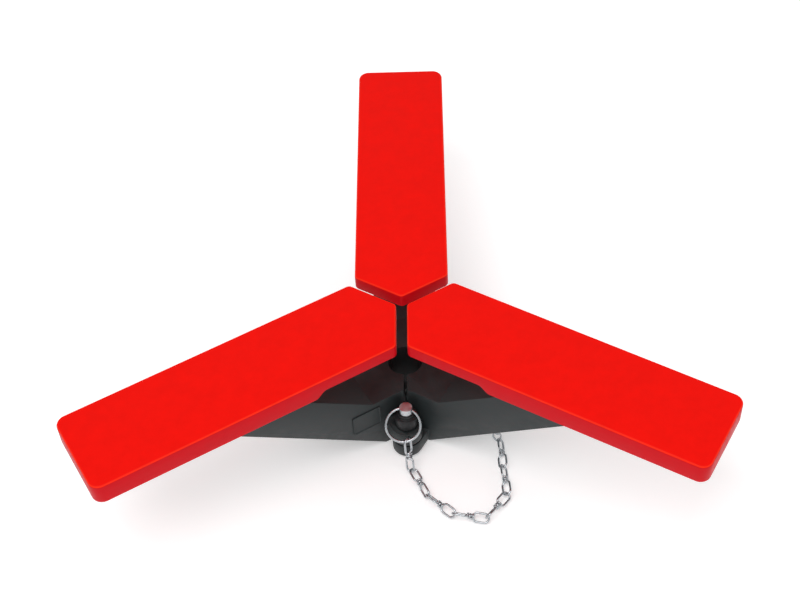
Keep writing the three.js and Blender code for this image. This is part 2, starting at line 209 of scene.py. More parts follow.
class HardwareSettings(PropertyGroup):
    screw_head: length("Pad screw head", 10, "Across its flats")
    bolt_head: length("Hinge bolt head", 19, "Across its flats")
    pin_radius: length("Lock pin radius", 6.5, "Half the pin's diameter")
    ring_radius: length("Pull ring radius", 16.9, "To the middle of the ring's wire")
    ring_wire: length("Pull ring wire radius", 1.4, "Half the wire's diameter")
    ring_hole: length("Ring hole radius", 3.0, "Of the hole that the ring hangs through")
    ring_slew: angle("Pull ring slew", 11, "How far the ring hangs to one side of the pin")
    ring_lean: angle("Pull ring lean", 40, "How far the ring hangs off the vertical")
    zinc: colour("Zinc plate", "#C3C8CC", "Colour of the plated steel")
    brass: colour("Brass", "#B98F45", "Colour of the bushes and inserts")
    nylon: colour("Nylon", "#17181A", "Colour of the pin's collar and bush")


class ChainSettings(PropertyGroup):
    wire: length("Wire radius", 1.1, "Half the wire's diameter")
    loop_radius: length("Loop radius", 4.4, "To the middle of the wire in a link's round end")
    slack: length("Slack", 0.15, "Play between two links")
    sides: IntProperty(name="Wire sides", description="Faces round the wire", default=14, min=6)


class StageSettings(PropertyGroup):
    lens: FloatProperty(
        name="Lens", description="Focal length on a 36 mm sensor", default=68.5, unit="CAMERA"
    )
    distance: length("Distance", 1447.7, "From the camera to the level of the pads")
    aside: length("Aside", 81.34, "How far the line of sight passes right of the bore")
    above: length("Above", 1.058, "How far the line of sight passes above the bore")
    elevation: angle("Elevation", 49.09, "How far the camera looks down")
    turn: angle("Turn", 2.29, "How far the camera stands round to the left")
    floor: colour("Floor", "#F4F4F4", "Colour of the floor")
    floor_reach: length("Floor reach", 30000, "From the middle of the floor to its sides")


GROUPS = {
    "pads": PadSettings,
    "castings": CastingSettings,
    "hardware": HardwareSettings,
    "chain": ChainSettings,
    "stage": StageSettings,
}


class SupportHeadSettings(PropertyGroup):
    pads: PointerProperty(type=PadSettings)
    castings: PointerProperty(type=CastingSettings)
    hardware: PointerProperty(type=HardwareSettings)
    chain: PointerProperty(type=ChainSettings)
    stage: PointerProperty(type=StageSettings)


def settings(group):
    """A group's values, with its lengths in millimetres."""
    values = {}
    for key in GROUPS[group].__annotations__:
        held = getattr(bpy.context.scene.support_head, group)
        is_length = held.bl_rna.properties[key].subtype == "DISTANCE"
        values[key] = getattr(held, key) / MM if is_length else getattr(held, key)
    return SimpleNamespace(**values)


# ---- Materials ----


def add_node(tree, kind, inputs=(), **attributes):
    """A node with its attributes set, and its inputs given as values or as sockets to link."""
    node = tree.nodes.new(kind)
    for key, value in attributes.items():
        setattr(node, key, value)
    for key, value in dict(inputs).items():
        if isinstance(value, bpy.types.NodeSocket):
            tree.links.new(value, node.inputs[key])
        else:
            node.inputs[key].default_value = value
    return node


def scaled(rgba, factor):
    return (*[min(1.0, c * factor) for c in rgba[:3]], 1.0)


def surface(name, colours, sizes, rough, bumps, shader, stretch=1.0, by_slope=False):
    """A surface of this object, on Object coordinates.

    Wear of one size and a finer skin, both in sizes in mm, lie over it. colours are the two that
    the wear mixes or, by slope, (place, colour) stops from upright faces to level ones. rough is
    the roughness where the wear is least and most. bumps give the depth in mm and the strength
    of the wear and of the skin, and stretch packs the wear's grain along Z.
    """
    material = bpy.data.materials.get(name)
    if material:
        return material
    material = bpy.data.materials.new(name)
    material.use_nodes = True
    tree = material.node_tree
    tree.nodes.clear()
    place = add_node(tree, "ShaderNodeTexCoord").outputs
    packed = add_node(
        tree, "ShaderNodeMapping", {"Vector": place["Object"], "Scale": (1, 1, stretch)}
    )
    wear, skin = [
        add_node(
            tree,
            "ShaderNodeTexNoise",
            {"Vector": vector, "Scale": 1 / (size * MM), "Detail": 4.0, "Roughness": 0.6},
        ).outputs["Fac"]
        for vector, size in zip((packed.outputs[0], place["Object"]), sizes)
    ]
    amount = add_node(
        tree, "ShaderNodeMapRange", {"Value": wear, "From Min": 0.32, "From Max": 0.7}
    ).outputs[0]
    if by_slope:
        level = add_node(tree, "ShaderNodeSeparateXYZ", {0: place["Normal"]}).outputs["Z"]
        level = add_node(tree, "ShaderNodeMath", {0: level}, operation="ABSOLUTE").outputs[0]
        ramp = add_node(tree, "ShaderNodeValToRGB", {"Fac": level})
        stops = ramp.color_ramp.elements
        for at, rgba in colours[1:-1]:
            stops.new(at).color = rgba
        for stop, (at, rgba) in ((stops[0], colours[0]), (stops[-1], colours[-1])):
            stop.position, stop.color = at, rgba
        dim = add_node(tree, "ShaderNodeMapRange", {"Value": amount, "To Min": 0.93}).outputs[0]
        tint = add_node(
            tree,
            "ShaderNodeVectorMath",
            {0: ramp.outputs["Color"], "Scale": dim},
            operation="SCALE",
        ).outputs[0]
    else:
        mixed = {0: amount, 6: colours[0], 7: colours[1]}
        tint = add_node(tree, "ShaderNodeMix", mixed, data_type="RGBA").outputs[2]
    shine = add_node(
        tree, "ShaderNodeMapRange", {"Value": amount, "To Min": rough[0], "To Max": rough[1]}
    ).outputs[0]
    normal = {}
    for height, (depth, strength) in zip((wear, skin), bumps):
        relief = {"Height": height, "Strength": strength, "Distance": depth * MM, **normal}
        normal = {"Normal": add_node(tree, "ShaderNodeBump", relief).outputs[0]}
    sockets = {"Base Color": tint, "Roughness": shine, **normal, **shader}
    made = add_node(tree, "ShaderNodeBsdfPrincipled", sockets).outputs[0]
    add_node(tree, "ShaderNodeOutputMaterial", {"Surface": made})
    return material


def moulded_polyurethane():
    """Solid-coloured cast polyurethane: a fine satin skin with a faint ripple from the mould."""
    pads = settings("pads")
    # The upright sides are painted darker than the faces, a painted shade, and the edges between are
    # painted lighter, a painted highlight.
    by_slope = [(0.0, pads.shaded_side_colour), (0.3, pads.shaded_side_colour), (0.55, pads.edge_highlight_colour)]
    by_slope += [(0.8, pads.edge_highlight_colour), (0.96, pads.colour)]
    return surface(
        "moulded_polyurethane",
        by_slope,
        (14, 1.1),  # the mould's own grain is 0.7 mm
        (0.36, 0.5),
        ((0.25, 0.25), (0.04, 0.18)),
        {"IOR": 1.5, "Specular IOR Level": 0.07},
        by_slope=True,
    )


def powder_coated_casting():
    """Sand-cast aluminium under a dark powder coat: a fine pebbled skin over a wavy cast face."""
    base = settings("castings").colour
    return surface(
        "powder_coated_casting",
        (base, scaled(base, 1.45)),
        (15, 1.3),  # the pebbles are 0.5 mm in truth, and drawn coarser so that they show
        (0.42, 0.58),
        ((0.4, 0.35), (0.1, 0.32)),
        {"IOR": 1.5, "Specular IOR Level": 0.33},
    )


def powder_coat_edge_highlight():
    """The same coat on the broken edges, painted paler as a painted highlight, and a little shinier.
    """
    base = settings("castings").edge_highlight_colour
    return surface(
        "powder_coat_edge_highlight",
        (scaled(base, 0.55), base),
        (7, 1.3),
        (0.5, 0.32),
        ((0.05, 0.1), (0.08, 0.15)),
        {"IOR": 1.5},
    )


def zinc_plated_steel():
    """Bright zinc plate: a slightly cloudy silver whose haze differs from place to place."""
    base = settings("hardware").zinc
    return surface(
        "zinc_plated_steel",
        (scaled(base, 0.8), base),
        (4, 0.6),
        (0.2, 0.36),
        ((0.02, 0.05), (0.02, 0.12)),
        {"Metallic": 1.0},
    )


def turned_steel():
    """Turned and polished steel: fine rings of tool marks stacked along the pin."""
    base = settings("hardware").zinc
    return surface(
        "turned_steel",
        (scaled(base, 0.86), base),
        (6, 0.6),
        (0.3, 0.42),
        ((0.03, 0.15), (0.01, 0.05)),
        {"Metallic": 1.0},
        stretch=16,
    )


def turned_brass():
    """Turned brass: warm, with fine tool marks and a touch of tarnish."""
    base = settings("hardware").brass
    return surface(
        "turned_brass",
        (base, scaled(base, 0.72)),
        (5, 0.7),
        (0.24, 0.42),
        ((0.03, 0.15), (0.01, 0.05)),
        {"Metallic": 1.0},
        stretch=14,
    )


def moulded_nylon():
    """Black glass-filled nylon: dull, with a faint streaky grain from the mould."""
    base = settings("hardware").nylon
    return surface(
        "moulded_nylon",
        (base, scaled(base, 1.7)),
        (3, 0.7),
        (0.4, 0.55),
        ((0.03, 0.1), (0.04, 0.2)),
        {"IOR": 1.53, "Specular IOR Level": 0.3},
        stretch=0.5,
    )


def studio_floor():
    """Matt white board, with a little light of its own so that it stays even to its far edge."""
    base = settings("stage").floor
    return surface(
        "studio_floor",
        (scaled(base, 0.985), base),
        (160, 20),
        (0.9, 0.9),
        ((0.2, 0.01), (0.2, 0.02)),
        {"Specular IOR Level": 0.1, "Emission Color": (1, 1, 1, 1), "Emission Strength": 0.3},
    )


# ---- Meshes ----


def smooth_by_angle(mesh, degrees=32):
    """Smooth faces, with a sharp edge wherever two meet at more than that angle."""
    bm = bmesh.new()
    bm.from_mesh(mesh)
    limit = math.radians(degrees)
    for face in bm.faces:
        face.smooth = True
    for edge in bm.edges:
        edge.smooth = len(edge.link_faces) == 2 and edge.calc_face_angle(0) < limit
    bm.to_mesh(mesh)
    bm.free()


def finish_piece(piece, materials, body, stands_for):
    """Gives a finished piece its materials and its body, and hides the CAD nodes that it stands for.
    """
    piece.data.materials.clear()
    for material in materials if isinstance(materials, tuple) else (materials,):
        piece.data.materials.append(material)
    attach(piece, body)
    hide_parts(*stands_for)
    return piece


def mesh_object(name, bm, place=None, recalculate=True):
    """An object at the origin, with a shape drawn in millimetres put where it goes."""
    if place:
        bm.transform(place)
    if recalculate:
        bmesh.ops.recalc_face_normals(bm, faces=bm.faces)
    mesh = bpy.data.meshes.new(name)
    bm.to_mesh(mesh)
    bm.free()
    piece = bpy.data.objects.new(name, mesh)
    bpy.context.scene.collection.objects.link(piece)
    return piece


def apply_modifiers(piece):
    """Makes a piece the plain mesh that its modifiers give."""
    bpy.context.view_layer.update()
    depsgraph = bpy.context.evaluated_depsgraph_get()
    mesh = bpy.data.meshes.new_from_object(piece.evaluated_get(depsgraph), depsgraph=depsgraph)
    piece.modifiers.clear()
    old, piece.data = piece.data, mesh
    name = old.name
    bpy.data.meshes.remove(old)
    mesh.name = name
    return piece


def cut(piece, cutter):
    """Takes one shape out of another."""
    modifier = piece.modifiers.new("cut", "BOOLEAN")
    modifier.operation = "DIFFERENCE"
    modifier.solver = "EXACT"
    modifier.object = cutter
    apply_modifiers(piece)
    mesh = cutter.data
    bpy.data.objects.remove(cutter)
    bpy.data.meshes.remove(mesh)
    return piece


def bevel_edges(piece, width_mm, segments=2, degrees=35, slot=-1):
    modifier = piece.modifiers.new("bevel", "BEVEL")
    modifier.width = width_mm * MM
    modifier.segments = segments
    modifier.limit_method = "ANGLE"
    modifier.angle_limit = math.radians(degrees)
    modifier.use_clamp_overlap = False
    modifier.material = slot
    return apply_modifiers(piece)


def add_face(bm, *corners):
    """A face, unless its corners fall together in a line."""
    corners = list(dict.fromkeys(corners))
    if len(corners) > 2:
        bm.faces.new(corners)


def add_prism(bm, outline, low, high):
    """A straight-sided solid over a plan outline of (x, y) points."""
    rings = [[bm.verts.new((x, y, z)) for x, y in outline] for z in (low, high)]
    count = len(outline)
    bm.faces.new(rings[0][::-1])
    bm.faces.new(rings[1])
    for i in range(count):
        j = (i + 1) % count
        bm.faces.new((rings[0][i], rings[0][j], rings[1][j], rings[1][i]))


def circle(radius, sides, x=0.0, y=0.0):
    steps = [2 * math.pi * i / sides for i in range(sides)]
    return [(x + radius * math.cos(a), y + radius * math.sin(a)) for a in steps]


def softened(points, radius, steps=3):
    """A closed outline with its corners rounded."""
    result = []
    count = len(points)
    for i, (x, y) in enumerate(points):
        here = Vector((x, y))
        before = Vector(points[i - 1]) - here
        after = Vector(points[(i + 1) % count]) - here
        reach = min(radius, before.length * 0.45, after.length * 0.45)
        start, end = here + before.normalized() * reach, here + after.normalized() * reach
        for k in range(steps + 1):
            t = k / steps
            point = start * (1 - t) ** 2 + here * (2 * t * (1 - t)) + end * t**2
            result.append((point.x, point.y))
    return result


def turned_solid(profile, sides=64, x=0.0, y=0.0, place=None, bm=None):
    """A closed profile of (radius, up) points turned about an upright axis."""
    bm = bm or bmesh.new()
    rings = []
    for radius, up in profile:
        if radius < 1e-6:
            rings.append([bm.verts.new((x, y, up))])
        else:
            rings.append([bm.verts.new((a, b, up)) for a, b in circle(radius, sides, x, y)])
    for lower, upper in zip(rings, rings[1:] + rings[:1]):
        for i in range(sides):
            j = (i + 1) % sides
            quad = [lower[i % len(lower)], lower[j % len(lower)]]
            quad += [upper[j % len(upper)], upper[i % len(upper)]]
            add_face(bm, *quad)
    return bm


def torus(radius, wire, place, around=96, across=24):
    bm = bmesh.new()
    rings = []
    for i in range(around):
        a = 2 * math.pi * i / around
        ring = []
        for k in range(across):
            b = 2 * math.pi * k / across
            out = radius + wire * math.cos(b)
            ring.append(bm.verts.new((out * math.cos(a), out * math.sin(a), wire * math.sin(b))))
        rings.append(ring)
    for i in range(around):
        for k in range(across):
            j, m = (i + 1) % around, (k + 1) % across
            bm.faces.new((rings[i][k], rings[j][k], rings[j][m], rings[i][m]))
    bm.transform(place)
    return bm


def joined(*parts):
    """Several shapes drawn in one mesh."""
    result = parts[0]
    for other in parts[1:]:
        mesh = bpy.data.meshes.new("part")
        other.to_mesh(mesh)
        other.free()
        result.from_mesh(mesh)
        bpy.data.meshes.remove(mesh)
    return result


def rod_place(start, end):
    """Puts a rod drawn from z 0 to 1 between two points."""
    way = end - start
    turn = Vector((0, 0, 1)).rotation_difference(way.normalized()).to_matrix().to_4x4()
    return Matrix.Translation(start) @ turn


def rod(start, end, radius, sides=32, soften=0.0):
    reach = (end - start).length
    profile = [(0, 0), (radius, 0), (radius, reach), (0, reach)]
    if soften:
        profile = [(0, 0), (radius - soften, 0), (radius, soften)]
        profile += [(radius, reach - soften), (radius - soften, reach), (0, reach)]
    bm = turned_solid(profile, sides)
    bm.transform(rod_place(start, end))
    return bm


# ---- Geometry Nodes ----


def new_tree(name, inputs):
    """A geometry node tree with named inputs and a material, and its input node's sockets."""
    tree = bpy.data.node_groups.new(name, "GeometryNodeTree")
    face = tree.interface
    face.new_socket("Geometry", in_out="INPUT", socket_type="NodeSocketGeometry")
    for label, kind in (*inputs.items(), ("Material", "NodeSocketMaterial")):
        face.new_socket(label, in_out="INPUT", socket_type=kind)
    face.new_socket("Geometry", in_out="OUTPUT", socket_type="NodeSocketGeometry")
    return tree, add_node(tree, "NodeGroupInput").outputs


def close_tree(tree, shape, source):
    """Ends a tree: its instances made real, in the material that it is given."""
    real = add_node(tree, "GeometryNodeRealizeInstances", {"Geometry": shape}).outputs[0]
    coated = add_node(
        tree, "GeometryNodeSetMaterial", {"Geometry": real, "Material": source["Material"]}
    ).outputs[0]
    tree.links.new(coated, add_node(tree, "NodeGroupOutput").inputs[0])
    return tree


def grow(piece, tree, values):
    """Runs a tree on a piece and keeps the plain mesh that it makes."""
    modifier = piece.modifiers.new(tree.name, "NODES")
    modifier.node_group = tree
    for item in tree.interface.items_tree:
        if item.in_out == "INPUT" and item.name in values:
            modifier[item.identifier] = values[item.name]
    return apply_modifiers(piece)


def hex_screw_tree():
    """A flanged hexagon screw at each point: its seat at the point, its head below it."""
    sizes = ("Across flats", "Head height", "Flange radius", "Flange height")
    shank = ("Shank radius", "Shank length")
    inputs = {label: "NodeSocketFloat" for label in sizes + shank}
    inputs |= {"Turn": "NodeSocketRotation", "Scale": "NodeSocketFloat"}
    tree, source = new_tree("hex_screws", inputs)
    height, flange, stem = (source[k] for k in ("Head height", "Flange height", "Shank length"))
    flange_radius, stem_radius = source["Flange radius"], source["Shank radius"]
    across = {
        label: add_node(
            tree, "ShaderNodeMath", {0: source["Across flats"], 1: factor}, operation="MULTIPLY"
        ).outputs[0]
        for label, factor in (("corner", 1 / math.sqrt(3)), ("face", 0.465))
    }
    # The chamfer is a cone over the head's outer face, and it widens by 1.8 mm in each mm.
    wide = add_node(
        tree, "ShaderNodeMath", {0: height, 1: 1.8, 2: across["face"]}, operation="MULTIPLY_ADD"
    ).outputs[0]
    cone = {"Vertices": 72, "Radius Top": wide, "Radius Bottom": across["face"]}
    solids = {}
    for label, kind, shape, reach, share, shift in (
        ("prism", "Cylinder", {"Vertices": 6, "Radius": across["corner"]}, height, -0.5, 0),
        ("chamfer", "Cone", cone, height, -1, 0),
        ("flange", "Cylinder", {"Vertices": 48, "Radius": flange_radius}, flange, -0.5, 0),
        ("stem", "Cylinder", {"Vertices": 32, "Radius": stem_radius}, stem, 0.5, -0.4),
    ):
        sizes = {**shape, "Depth": reach}
        drawn = add_node(tree, f"GeometryNodeMesh{kind}", sizes).outputs["Mesh"]
        up = add_node(
            tree, "ShaderNodeMath", {0: reach, 1: share, 2: shift}, operation="MULTIPLY_ADD"
        ).outputs[0]
        offset = add_node(tree, "ShaderNodeCombineXYZ", {"Z": up}).outputs[0]
        solids[label] = add_node(
            tree, "GeometryNodeTransform", {"Geometry": drawn, "Translation": offset}
        ).outputs[0]
    head = add_node(tree, "GeometryNodeMeshBoolean", operation="INTERSECT", solver="EXACT")
    for label in ("prism", "chamfer"):
        tree.links.new(solids[label], head.inputs[1])
    join = add_node(tree, "GeometryNodeJoinGeometry")
    for solid in (head.outputs[0], solids["flange"], solids["stem"]):
        tree.links.new(solid, join.inputs[0])
    points = add_node(tree, "GeometryNodeMeshToPoints", {"Mesh": source["Geometry"]}).outputs[0]
    scale = add_node(tree, "ShaderNodeCombineXYZ", dict.fromkeys("XYZ", source["Scale"]))
    spread = add_node(
        tree,
        "GeometryNodeInstanceOnPoints",
        {
            "Points": points,
            "Instance": join.outputs[0],
            "Rotation": source["Turn"],
            "Scale": scale.outputs[0],
        },
    ).outputs[0]
    return close_tree(tree, spread, source)


def wire_tree():
    """Round wire along every line of the mesh it is given, closed at its ends."""
    inputs = {"Wire radius": "NodeSocketFloat", "Sides": "NodeSocketInt"}
    tree, source = new_tree("knotted_wire", inputs | {"Step": "NodeSocketFloat"})
    line = add_node(tree, "GeometryNodeMeshToCurve", {"Mesh": source["Geometry"]}).outputs[0]
    kind = add_node(
        tree, "GeometryNodeCurveSplineType", {"Curve": line}, spline_type="CATMULL_ROM"
    ).outputs[0]
    even = add_node(
        tree, "GeometryNodeResampleCurve", {"Curve": kind, "Length": source["Step"]}, mode="LENGTH"
    ).outputs[0]
    profile = add_node(
        tree,
        "GeometryNodeCurvePrimitiveCircle",
        {"Resolution": source["Sides"], "Radius": source["Wire radius"]},
    ).outputs[0]
    tube = add_node(
        tree,
        "GeometryNodeCurveToMesh",
        {"Curve": even, "Profile Curve": profile, "Fill Caps": True},
    ).outputs[0]
    return close_tree(tree, tube, source)


# ---- Pads ----


def pad_outline(pads, inset, samples):
    """The pad's edge in plan, as one (along, half width) pair for each place along it."""
    tan60 = math.tan(math.radians(60))
    shoulder = pads.tip + pads.half_width / tan60
    corners = [
        (pads.tip, 0, pads.tip_radius),
        (shoulder, pads.half_width, pads.shoulder_radius),
        (pads.end, pads.half_width, pads.end_radius),
        (pads.end, 0, 0),
    ]
    points = []
    for i, (x, y, radius) in enumerate(corners[:3]):
        here = Vector((x, y))
        before = Vector(corners[i - 1][:2]) if i else Vector((shoulder, -pads.half_width))
        ways = [(before - here).normalized(), (Vector(corners[i + 1][:2]) - here).normalized()]
        half = math.acos(ways[0].dot(ways[1])) / 2
        inward = (ways[0] + ways[1]).normalized()
        centre = here + inward * radius / math.sin(half)
        start = here + ways[0] * radius / math.tan(half) - centre
        end = here + ways[1] * radius / math.tan(half) - centre
        first = math.atan2(start.y, start.x)
        turn = (math.atan2(end.y, end.x) - first + math.pi) % (2 * math.pi) - math.pi
        steps = 12
        for k in range(steps + 1):
            angle = first + turn * k / steps
            if i == 0 and k < steps / 2:
                continue
            reach = radius - inset
            points.append(
                (centre.x + reach * math.cos(angle), max(0.0, centre.y + reach * math.sin(angle)))
            )
        if i == 1:
            points += [(along, pads.half_width - inset) for along in samples]
    points[0] = (points[0][0], 0.0)
    return points


def pad_underside(pads, along):
    """The height of the pad's underside, which steps up over the hub."""
    t = (along - pads.step_at) / pads.step_length + 0.5
    t = min(1.0, max(0.0, t))
    return PAD_TOP - pads.thick + (pads.thick - pads.thin) * (1 + math.cos(math.pi * t)) / 2


def build_pad(side):
    pads = settings("pads")
    half = pads.step_length / 2
    samples = [60, 75, 90, 100]
    samples += [pads.step_at - half + pads.step_length * i / 16 for i in range(17)]
    samples += [125, 145] + [165 + 20 * i for i in range(8)]
    bm = bmesh.new()
    levels = []  # inset, and how high: from the underside, or down from the top
    for k in range(5):
        angle = math.pi / 2 * k / 4
        small = pads.lower_edge
        levels.append((small * (1 - math.sin(angle)), "low", small * (1 - math.cos(angle))))
    for k in range(7):
        angle = math.pi / 2 * k / 6
        in_by, down_by = (pads.edge * (1 - f(angle)) for f in (math.cos, math.sin))
        levels.append((in_by, "high", down_by))
    rings = []
    for inset, kind, offset in levels:
        outline = pad_outline(pads, inset, samples)
        ring = []
        for x, y in outline:
            z = pad_underside(pads, x) + offset if kind == "low" else PAD_TOP - offset
            right = bm.verts.new((x, y, z))
            ring.append((right, right if y == 0 else bm.verts.new((x, -y, z))))
        rings.append(ring)

    for lower, upper in zip(rings, rings[1:]):
        for a, b in zip(zip(lower, lower[1:]), zip(upper, upper[1:])):
            for k in (0, 1):
                add_face(bm, a[0][k], a[1][k], b[1][k], b[0][k])
        add_face(bm, lower[-1][0], lower[-1][1], upper[-1][1], upper[-1][0])
    for ring in (rings[0], rings[-1]):
        for a, b in zip(ring, ring[1:]):
            add_face(bm, a[0], b[0], b[1], a[1])
    pad = mesh_object(f"{side}_cushion_slab", bm)
    holes = bmesh.new()
    for along, across in SCREW_PLACES:
        low = PAD_TOP - pads.thick
        radius, depth = INSERT_HOLE
        add_prism(holes, circle(radius, 32, along, across), low - 1, low + depth)
    cut(pad, mesh_object("holes", holes))
    pad.data.transform(arm_place(side))
    smooth_by_angle(pad.data, 40)
    body = ARMS[side][0]
    return finish_piece(pad, moulded_polyurethane(), body, [f"{side}_pad"])


# ---- Castings ----


def build_casting(side):
    """The cast segment's own shape, with its edges broken as a casting's are."""
    edge = settings("castings").edge
    node = frame["nodes"][f"{side}_casting"]
    bm = bmesh.new()
    bm.from_mesh(node.data)
    bmesh.ops.remove_doubles(bm, verts=bm.verts, dist=2e-6)
    bmesh.ops.dissolve_limit(bm, angle_limit=math.radians(1), verts=bm.verts, edges=bm.edges)
    casting = mesh_object(f"{side}_cast_segment", bm, recalculate=False)
    coat_and_edge_highlight = (powder_coated_casting(), powder_coat_edge_highlight())
    for coat in coat_and_edge_highlight:
        casting.data.materials.append(coat)
    # The broken edges' faces take the second material, a painted highlight.
    bevel_edges(casting, edge, 2, slot=1)
    smooth_by_angle(casting.data, 38)
    return finish_piece(casting, coat_and_edge_highlight, ARMS[side][0], [f"{side}_casting"])


def build_label():
    """A raised rim round a blank field."""
    radius = settings("castings").label_radius
    place = arm_place("left")
    middle = sum((place.inverted() @ Vector(corner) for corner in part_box("label_plate")), Vector())
    middle /= 2
    bm = bmesh.new()
    # Each outline's inset, its share of the corner radius, and how far it stands off the wall.
    half_long, half_high, wall = 15.5, 13.5, 31.3
    rings = []
    steps = ((0, 1, 0.3), (0, 1, 1.0), (0.3, 1, 1.3), (1.3, 0.7, 1.3), (1.8, 0.6, 0.7))
    for inset, corner, out in steps:
        x, y = half_long - inset, half_high - inset
        outline = softened([(-x, -y), (x, -y), (x, y), (-x, y)], radius * corner, 5)
        at = wall + out
        rings.append([bm.verts.new((middle.x + a, at, middle.z + b)) for a, b in outline])
    count = len(rings[0])
    for lower, upper in zip(rings, rings[1:]):
        for i in range(count):
            j = (i + 1) % count
            bm.faces.new((lower[i], lower[j], upper[j], upper[i]))
    bm.faces.new(rings[-1])
    bm.faces.new(rings[0][::-1])
    label = mesh_object("blank_label", bm, place)
    smooth_by_angle(label.data, 40)
    return finish_piece(label, powder_coated_casting(), "left_arm", ["label_plate"])


# ---- Screws, hinges, pin and ring ----


def build_screws(name, places, turn, sizes, body, stands_for, place):
    """Like screws on one body, from one tree."""
    bm = bmesh.new()
    for point in places:
        bm.verts.new(place @ Vector(point))
    piece = mesh_object(name, bm, recalculate=False)
    tree = bpy.data.node_groups.get("hex_screws") or hex_screw_tree()
    values = dict(sizes)
    values |= {"Turn": turn, "Scale": MM, "Material": zinc_plated_steel()}
    grow(piece, tree, values)
    bevel_edges(piece, 0.25, 2, 25)
    smooth_by_angle(piece.data, 30)
    return finish_piece(piece, zinc_plated_steel(), body, stands_for)


def turned_piece(name, outline, soften, x, y, place, material, body, node, slot):
    bm = turned_solid(softened(outline, soften), 72, x, y)
    piece = mesh_object(name, bm, place)
    smooth_by_angle(piece.data, 40)
    return finish_piece(piece, material, body, [node])


def sleeve(inner, outer, low, high):
    return [(inner, low), (outer, low), (outer, high), (inner, high)]


def build_hinge(side, arm, bolt_body, bush_body, thrust_body):
    place = arm_place(arm)
    here = (KNEE.x, KNEE.y, place)
    sizes = {"Across flats": settings("hardware").bolt_head, **BOLT}
    seat = (KNEE.x, KNEE.y, BOLT_SEAT)
    turn = (math.pi, 0, math.radians(ARMS[arm][1]))
    build_screws(
        f"{side}_pivot_bolt", [seat], turn, sizes, bolt_body, [f"{side}_hinge_bolt"], place
    )
    turned_piece(
        f"{side}_pivot_washer", sleeve(FIT, WASHER_OUTER, ON_BUSH, WASHER_TOP), 0.4, *here,
        zinc_plated_steel(), bolt_body, f"{side}_hinge_washer", "zinc_steel",
    )
    turned_piece(
        f"{side}_pivot_bush", FLANGED, 0.5, *here,
        turned_brass(), bush_body, f"{side}_hinge_bush", "brass",
    )
    turned_piece(
        f"{side}_spacing_washer", sleeve(FIT, SPACER_OUTER, SPACER_LOW, SPACER_TOP), 0.35, *here,
        turned_brass(), thrust_body, f"{side}_thrust_washer", "brass",
    )


def ring_hole_middle():
    """The middle of the cross hole in the pin, just under the joint that the ring swings on."""
    return Vector((*PIN_PLACE, RING_PIVOT.z / MM - 0.6))


def build_lock_pin():
    hardware = settings("hardware")
    radius = hardware.pin_radius
    x, y = PIN_PLACE
    low, top = PIN_LOW, PIN_TOP
    outline = [(0, low), (radius - 1.2, low), (radius - 0.5, low + 0.7), (radius, low + 2.1)]
    outline += [(radius, top - 1), (radius - 0.35, top - 0.3), (radius - 1.1, top), (0, top)]
    pin = mesh_object("ring_pin", turned_solid(outline, 72, x, y))
    pivot = ring_hole_middle()
    side = Vector((radius + 1, 0, 0))
    hole = mesh_object("hole", rod(pivot - side, pivot + side, hardware.ring_hole))
    cut(pin, hole)
    catch = Vector((x, y, CATCH_UP))
    ends = catch + Vector((0, 1, 0)), catch - Vector((0, radius + 1, 0))
    cut(pin, mesh_object("pocket", rod(*ends, CATCH_POCKET)))
    pin.data.transform(BORE_PLACE)
    smooth_by_angle(pin.data, 30)
    finish_piece(pin, turned_steel(), "lock_pin", ["lock_pin"])

    skirt, neck = COLLAR_SKIRT, COLLAR_NECK
    shoulder = [(FIT, ON_BUSH), (skirt[0], ON_BUSH), skirt, (neck[0], skirt[1]), neck]
    shoulder.append((FIT, neck[1]))
    turned_piece(
        "ring_pin_collar", shoulder, 0.9, x, y, BORE_PLACE,
        moulded_nylon(), "lock_pin", "lock_pin_collar", "nylon",
    )
    turned_piece(
        "ring_pin_bush", FLANGED, 0.5, x, y, BORE_PLACE,
        moulded_nylon(), "left_arm", "lock_pin_bush", "nylon",
    )
    bm = bmesh.new()
    bmesh.ops.create_uvsphere(bm, u_segments=32, v_segments=18, radius=CATCH_RADIUS)
    bm.transform(Matrix.Translation((x, y - CATCH_OUT, CATCH_UP)))
    ball = mesh_object("catch_ball", bm, BORE_PLACE)
    smooth_by_angle(ball.data, 60)
    finish_piece(ball, turned_steel(), "lock_pin", ["detent_ball"])
    frame["nodes"]["detent_spring"].data.materials.clear()
    frame["nodes"]["detent_spring"].data.materials.append(zinc_plated_steel())


def ring_place():
    """Where the pull ring's middle hangs, and how it leans."""
    hardware = settings("hardware")
    radius, lean = hardware.ring_radius, hardware.ring_lean
    down = Vector((0, -math.sin(lean), -math.cos(lean)))
    pivot = ring_hole_middle()
    # The wire rises in the hole by what its bow across the pin and its slew leave room for.
    bow = radius - math.sqrt(radius**2 - hardware.pin_radius**2)
    rise = (bow + hardware.pin_radius * math.tan(hardware.ring_slew)) / 2
    hang = Vector((-math.sin(hardware.ring_slew), 0, 0)) + down * math.cos(hardware.ring_slew)
    centre = pivot - down * rise + hang * radius
    return Matrix.Translation(centre) @ Matrix.Rotation(-math.pi / 2 - lean, 4, "X")


def build_ring():
    hardware = settings("hardware")
    bm = torus(hardware.ring_radius, hardware.ring_wire, ring_place(), 120, 24)
    ring = mesh_object("finger_ring", bm, BORE_PLACE)
    smooth_by_angle(ring.data, 60)
    return finish_piece(ring, zinc_plated_steel(), "pull_ring", ["pull_ring"])


# ---- Chain ----


def square_to(vector, normal):
    return (vector - normal * vector.dot(normal)).normalized()


def link_way(index):
    return (Vector(LINK_POINTS[index + 1]) - Vector(LINK_POINTS[index])).normalized()


def round_end(index, normal, side):
    """The middle of a link's round end: its wire passes the meeting point by its thickness."""
    chain = settings("chain")
    last = len(LINK_ROLLS) - 1
    through = (link_way(max(index - 1, 0)) + link_way(min(index, last))).normalized()
    hook = chain.wire + chain.slack
    centre = Vector(LINK_POINTS[index]) + through * side * hook
    return centre - square_to(through, normal) * side * chain.loop_radius


